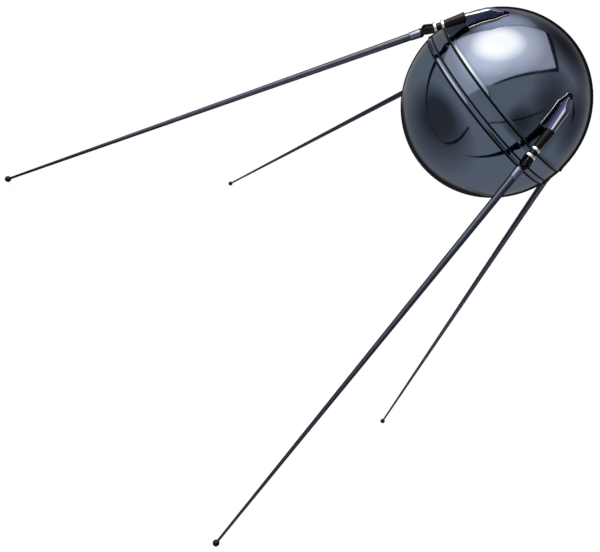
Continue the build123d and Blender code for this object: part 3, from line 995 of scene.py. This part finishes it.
def screw_tree():
    """Geometry nodes that set a slotted screw head on each point, along its direction."""
    tree, given = new_geometry_tree("Slotted screws", (
        ("Places", "Geometry"), ("Head Radius", "Float"), ("Head Height", "Float"), ("Slot Width", "Float"),
        ("Seed", "Int"), ("Finish", "Material")))
    head = add_node(tree, "GeometryNodeMeshCone", {"fill_type": "NGON"}, Vertices=24,
                    Radius_Top=math_node(tree, "MULTIPLY", given["Head Radius"], 0.80),
                    Radius_Bottom=given["Head Radius"], Depth=given["Head Height"])
    cutter_size = add_node(tree, "ShaderNodeCombineXYZ",
                           X=math_node(tree, "MULTIPLY", given["Head Radius"], 3.0),
                           Y=given["Slot Width"], Z=given["Head Height"]).outputs[0]
    cutter = add_node(tree, "GeometryNodeMeshCube", Size=cutter_size).outputs[0]
    lift = add_node(tree, "ShaderNodeCombineXYZ", Z=given["Head Height"]).outputs[0]
    lifted = add_node(tree, "GeometryNodeTransform", Geometry=cutter, Translation=lift).outputs[0]
    slotted = add_node(tree, "GeometryNodeMeshBoolean", {"operation": "DIFFERENCE"},
                       Mesh_1=head.outputs["Mesh"], Mesh_2=lifted)
    direction = add_node(tree, "GeometryNodeInputNamedAttribute", {"data_type": "FLOAT_VECTOR"},
                         Name="direction").outputs[0]
    facing = add_node(tree, "FunctionNodeAlignRotationToVector", {"axis": "Z"}, Vector=direction).outputs[0]
    spin = add_node(tree, "FunctionNodeRandomValue", {"data_type": "FLOAT"}, Seed=given["Seed"])
    spin.inputs[3].default_value = math.tau
    turn = add_node(tree, "FunctionNodeAxisAngleToRotation", Axis=(0, 0, 1), Angle=spin.outputs[1]).outputs[0]
    both = add_node(tree, "FunctionNodeRotateRotation", {"rotation_space": "LOCAL"}, Rotation=facing,
                    Rotate_By=turn).outputs[0]
    heads = add_node(tree, "GeometryNodeInstanceOnPoints", Points=given["Places"],
                     Instance=slotted.outputs["Mesh"], Rotation=both)
    return end_tree(tree, heads.outputs[0], given["Finish"])


class SATELLITE_OT_screws(bpy.types.Operator):
    """Set the slotted screws that hold the feet"""

    bl_idname = "satellite.build_screws"
    bl_label = "Build Screws"

    def execute(self, context):
        top = context.scene.satellite_ball.radius + CLEARANCE + PAD_THICKNESS
        points, directions = [], []
        centre = ball_centre()
        for _, turn in ANTENNAS:
            place = whip_place(turn)
            for along, across in SCREW_PLACES:
                s, c = along * MILLIMETRE, across * MILLIMETRE
                rise = math.sqrt(top ** 2 - s ** 2 - c ** 2) - (place.translation - centre).length
                point = place @ Vector((rise, c, s))
                points.append(point)
                directions.append((point - centre).normalized())
        seed = bpy.data.meshes.new("screw_places")
        seed.from_pydata(points, [], [])
        attribute = seed.attributes.new("direction", "FLOAT_VECTOR", "POINT")
        attribute.data.foreach_set("vector", [value for item in directions for value in item])
        mesh = grown_mesh("foot_screws", seed, screw_tree(), Head_Radius=2.6 * MILLIMETRE,
                          Head_Height=0.9 * MILLIMETRE, Slot_Width=0.7 * MILLIMETRE, Seed=7,
                          Finish=finish_material("dark_steel"))
        put_right(mesh, sharp=30.0)
        show("foot_screws", mesh, "ball", "dark_steel")
        return {"FINISHED"}


class SATELLITE_OT_power_block(bpy.types.Operator):
    """Give the power block and its carrier frame inside the ball their finishes"""

    bl_idname = "satellite.build_power_block"
    bl_label = "Build Power Block"

    def execute(self, context):
        for name, node, slot, width in (("power_case", "battery_block", "power_block", 4.0),
                                        ("carrier_ring", "battery_frame", "foot_metal", 1.0)):
            mesh = bevelled_copy(name, node, width * MILLIMETRE, slot, 3)
            show(name, mesh, "ball", slot, node)
        return {"FINISHED"}


def floor_material(share):
    """White floor with its own white for the camera; reflections show painted shade on it."""
    material, tree, shader, place = new_material("Studio floor")
    put(tree, shader.inputs["Base Color"], (0.95, 0.95, 0.95, 1.0))
    put(tree, shader.inputs["Roughness"], 0.9)
    shown = 1.0
    # Painted shade: the floor is darker in these patches, for reflections only
    for x, y, inner, outer, level, beyond in PAINTED_FLOOR_SHADE:
        reach = vector_node(tree, "DISTANCE", place, (x, y, 0.0))["Value"]
        shown = math_node(tree, "MULTIPLY", shown, remap(tree, reach, inner, outer, level, beyond))
    own = add_node(tree, "ShaderNodeEmission", Color=rgba(WHITE),
                   Strength=light_path_level(tree, 1.10, shown, 0.0))
    mix_surface(tree, light_path_level(tree, share, 1.0, 0.0), shader.outputs[0], own.outputs[0])
    return material


def direction(azimuth, elevation):
    """Unit vector for an azimuth from +X towards +Y and an elevation, in degrees."""
    a, e = math.radians(azimuth), math.radians(elevation)
    return Vector((math.cos(a) * math.cos(e), math.sin(a) * math.cos(e), math.sin(e)))


def nearness(tree, look, toward):
    """Cosine of the angle between a view vector and a direction."""
    return vector_node(tree, "DOT_PRODUCT", look, toward)["Value"]


def cosine(degrees):
    """Cosine of an angle in degrees."""
    return math.cos(math.radians(degrees))


def card_material(name, level, tint=WHITE, glows=(), edge=None):
    """Cloth of a studio card: an even level with brighter round patches.

    An edge of (direction, half angle, softness) makes it a soft round card.
    """
    material, tree, shader, place = new_material(name)
    tree.nodes.remove(shader)
    from_centre = vector_node(tree, "SUBTRACT", place, ball_centre())["Vector"]
    look = vector_node(tree, "NORMALIZE", from_centre)["Vector"]
    colour = rgba(tint)
    for azimuth, elevation, inner, outer, extra, patch_tint in glows:
        patch = nearness(tree, look, direction(azimuth, elevation))
        share = remap(tree, patch, cosine(outer), cosine(inner))
        level = math_node(tree, "ADD", level, math_node(tree, "MULTIPLY", share, extra))
        colour = blend_colour(tree, share, colour, rgba(patch_tint))
    cover = 1.0
    if edge:
        toward, half, soft = edge
        cover = remap(tree, nearness(tree, look, toward), cosine(half), cosine(half - soft))
    glow = add_node(tree, "ShaderNodeEmission", Color=colour, Strength=level)
    clear = tree.nodes.new("ShaderNodeBsdfTransparent")
    mix_surface(tree, cover, clear.outputs[0], glow.outputs[0])
    return material


def card(name, points, faces, material):
    """A studio card seen only in reflections."""
    mesh = bpy.data.meshes.new(name)
    mesh.from_pydata(points, [], faces)
    mesh.materials.append(material)
    piece = new_object(name, mesh)
    piece.visible_camera = False
    piece.visible_diffuse = False
    piece.visible_shadow = False


def patch_card(name, corners, middle, distance, material):
    """A card about the ball whose corners are given as directions."""
    points = [ball_centre() + direction(*place) * distance for place in (middle, *corners)]
    count = len(corners)
    card(name, points, [(0, i + 1, (i + 1) % count + 1) for i in range(count)], material)


def disc_card(name, toward, half, distance, material):
    """A round card about the ball, square to a direction."""
    centre = ball_centre() + toward * distance
    side = toward.orthogonal().normalized()
    other = toward.cross(side)
    radius = distance * math.tan(math.radians(half))
    turns = [math.tau * i / 64 for i in range(64)]
    points = [centre + (side * math.cos(t) + other * math.sin(t)) * radius for t in turns]
    card(name, points, [tuple(range(64))], material)


def frame_card(name, corners, middle, distance, material):
    """A dark rod of a card's frame along directions, each with the rod's width in degrees."""
    points = []
    for azimuth, elevation, width in corners:
        edge = direction(azimuth, elevation)
        out = (edge - direction(*middle)).normalized() * math.tan(math.radians(width))
        points += [ball_centre() + edge * distance, ball_centre() + (edge + out).normalized() * distance]
    card(name, points, [(2 * i, 2 * i + 1, 2 * i + 3, 2 * i + 2) for i in range(len(corners) - 1)], material)


def set_floor(share):
    """Lay the wide plain floor."""
    mesh = bpy.data.meshes.new("studio_floor")
    mesh.from_pydata([(x * FLOOR_REACH, y * FLOOR_REACH, 0) for x, y in ((-1, -1), (1, -1), (1, 1), (-1, 1))],
                     [], [(0, 1, 2, 3)])
    mesh.materials.append(floor_material(share))
    floor = new_object("studio_floor", mesh)


def set_cards():
    """Hang the softbox in its frame and the dark and bright cards that the polished ball shows."""
    corners = [row[:2] for row in UPPER_ROD[:-1] + SIDE_ROD[:-1] + LOWER_ROD] + list(OPEN_EDGE)
    cloth = card_material("Softbox cloth", 2.3, (1.0, 0.94, 0.92), SOFTBOX_GLOWS)
    patch_card("softbox_cloth", corners, SOFTBOX_MIDDLE, SOFTBOX_DISTANCE, cloth)
    black = card_material("Black cloth", 0.04)
    for name, rod, middle in (
            ("softbox_lower_rod", LOWER_ROD, SOFTBOX_MIDDLE), ("softbox_side_rod", SIDE_ROD, SOFTBOX_MIDDLE),
            ("softbox_upper_rod", UPPER_ROD, SOFTBOX_MIDDLE), ("wall_rail", WALL_RAIL, SOFTBOX_MIDDLE),
            ("light_stand", LIGHT_STAND, STAND_MIDDLE)):
        frame_card(name, rod, middle, ROD_DISTANCE, black)
    points = [Vector((x + shift, y - shift, CABLE_HEIGHT))
              for x, y in CABLE_BENDS for shift in (-CABLE_HALF, CABLE_HALF)]
    card("floor_cable", points, [(i, i + 1, i + 3, i + 2) for i in range(0, len(points) - 2, 2)], black)
    above = direction(*CEILING_BOUNCE)
    bright = card_material("Ceiling bounce", 2.6, edge=(above, 24, 16))
    disc_card("ceiling_bounce", above, half=26, distance=5.5, material=bright)
    behind = direction(*BLACK_FLAG)
    flag = card_material("Black flag", 0.02, edge=(behind, 40, 6))
    disc_card("black_flag", behind, half=41, distance=2.2, material=flag)


def set_room(scene, shown_level, daylight):
    """Light the room, with dark hangings that only reflections show."""
    world = bpy.data.worlds.new("Studio room")
    scene.world = world
    world.use_nodes = True
    world.cycles.sampling_method = "NONE"
    tree = world.node_tree
    tree.nodes.clear()
    look = tree.nodes.new("ShaderNodeTexCoord").outputs["Generated"]
    for azimuth, elevation, half, soft, depth in DARK_HANGINGS:
        near = nearness(tree, look, direction(azimuth, elevation))
        kept = remap(tree, near, cosine(half + soft), cosine(half - soft), 1.0, 1.0 - depth)
        shown_level = math_node(tree, "MULTIPLY", shown_level, kept)
    level = light_path_level(tree, 1.0, shown_level, daylight)
    room = add_node(tree, "ShaderNodeBackground", Color=rgba(WHITE), Strength=level)
    output = tree.nodes.new("ShaderNodeOutputWorld")
    tree.links.new(room.outputs[0], output.inputs["Surface"])


def set_key_light():
    """Hang the soft key light, which reflections don't show."""
    key = bpy.data.lights.new("key_light", "SUN")
    key.angle = math.radians(18)
    key.energy = 2.6
    lamp = new_object("key_light", key)
    lamp.rotation_euler = direction(*KEY_LIGHT).to_track_quat("Z", "Y").to_euler()
    lamp.visible_glossy = False
    lamp.visible_camera = False


def set_camera(scene):
    """Stand the camera at the photograph's viewing angle."""
    camera = new_object("camera", bpy.data.cameras.new("camera"))
    camera.location = CAMERA_PLACE
    camera.rotation_euler = Euler([math.radians(angle) for angle in CAMERA_TURN], "XYZ")
    camera.data.sensor_width = 36.0
    camera.data.lens = CAMERA_LENS
    camera.data.clip_start = 0.05
    camera.data.clip_end = 300.0
    scene.camera = camera
    scene.view_settings.view_transform = "Standard"


class SATELLITE_OT_stage(bpy.types.Operator):
    """Set the floor, the softbox, the room light and the camera"""

    bl_idname = "satellite.build_stage"
    bl_label = "Build Stage"

    def execute(self, context):
        stage = context.scene.satellite_stage
        set_floor(stage.floor_share)
        set_cards()
        set_room(context.scene, stage.room_level, stage.daylight)
        set_key_light()
        set_camera(context.scene)
        return {"FINISHED"}


class SATELLITE_PT_panel(bpy.types.Panel):
    """Settings and steps of the satellite"""

    bl_idname = "SATELLITE_PT_panel"
    bl_label = "Spherical Satellite"
    bl_space_type = "VIEW_3D"
    bl_region_type = "UI"
    bl_category = "Satellite"

    def draw(self, context):
        layout = self.layout
        for group in GROUPS:
            box = layout.box()
            settings = getattr(context.scene, group)
            for prop in settings.bl_rna.properties:
                if prop.identifier not in ("rna_type", "name"):
                    box.prop(settings, prop.identifier)
        for step in STEPS:
            layout.operator(step)


GROUPS = {
    "satellite_ball": BallSettings,
    "satellite_antenna": AntennaSettings,
    "satellite_finish": FinishSettings,
    "satellite_stage": StageSettings,
}
OPERATORS = (
    SATELLITE_OT_shells, SATELLITE_OT_bands, SATELLITE_OT_feet, SATELLITE_OT_insulators,
    SATELLITE_OT_rings, SATELLITE_OT_hinges, SATELLITE_OT_whips, SATELLITE_OT_screws,
    SATELLITE_OT_power_block, SATELLITE_OT_stage,
)
CLASSES = (*GROUPS.values(), *OPERATORS, SATELLITE_PT_panel)
STEPS = tuple(operator.bl_idname for operator in OPERATORS)


def register():
    """Add the settings, the steps and the panel to Blender."""
    for cls in CLASSES:
        bpy.utils.register_class(cls)
    for name, cls in GROUPS.items():
        setattr(bpy.types.Scene, name, PointerProperty(type=cls))


def unregister():
    """Take the settings, the steps and the panel out again."""
    for name in GROUPS:
        delattr(bpy.types.Scene, name)
    for cls in reversed(CLASSES):
        bpy.utils.unregister_class(cls)


def main():
    """Build every piece and the stage."""
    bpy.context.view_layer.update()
    register()
    for step in STEPS:
        group, name = step.split(".")
        getattr(getattr(bpy.ops, group), name)()


if __name__ == "__main__":
    main()
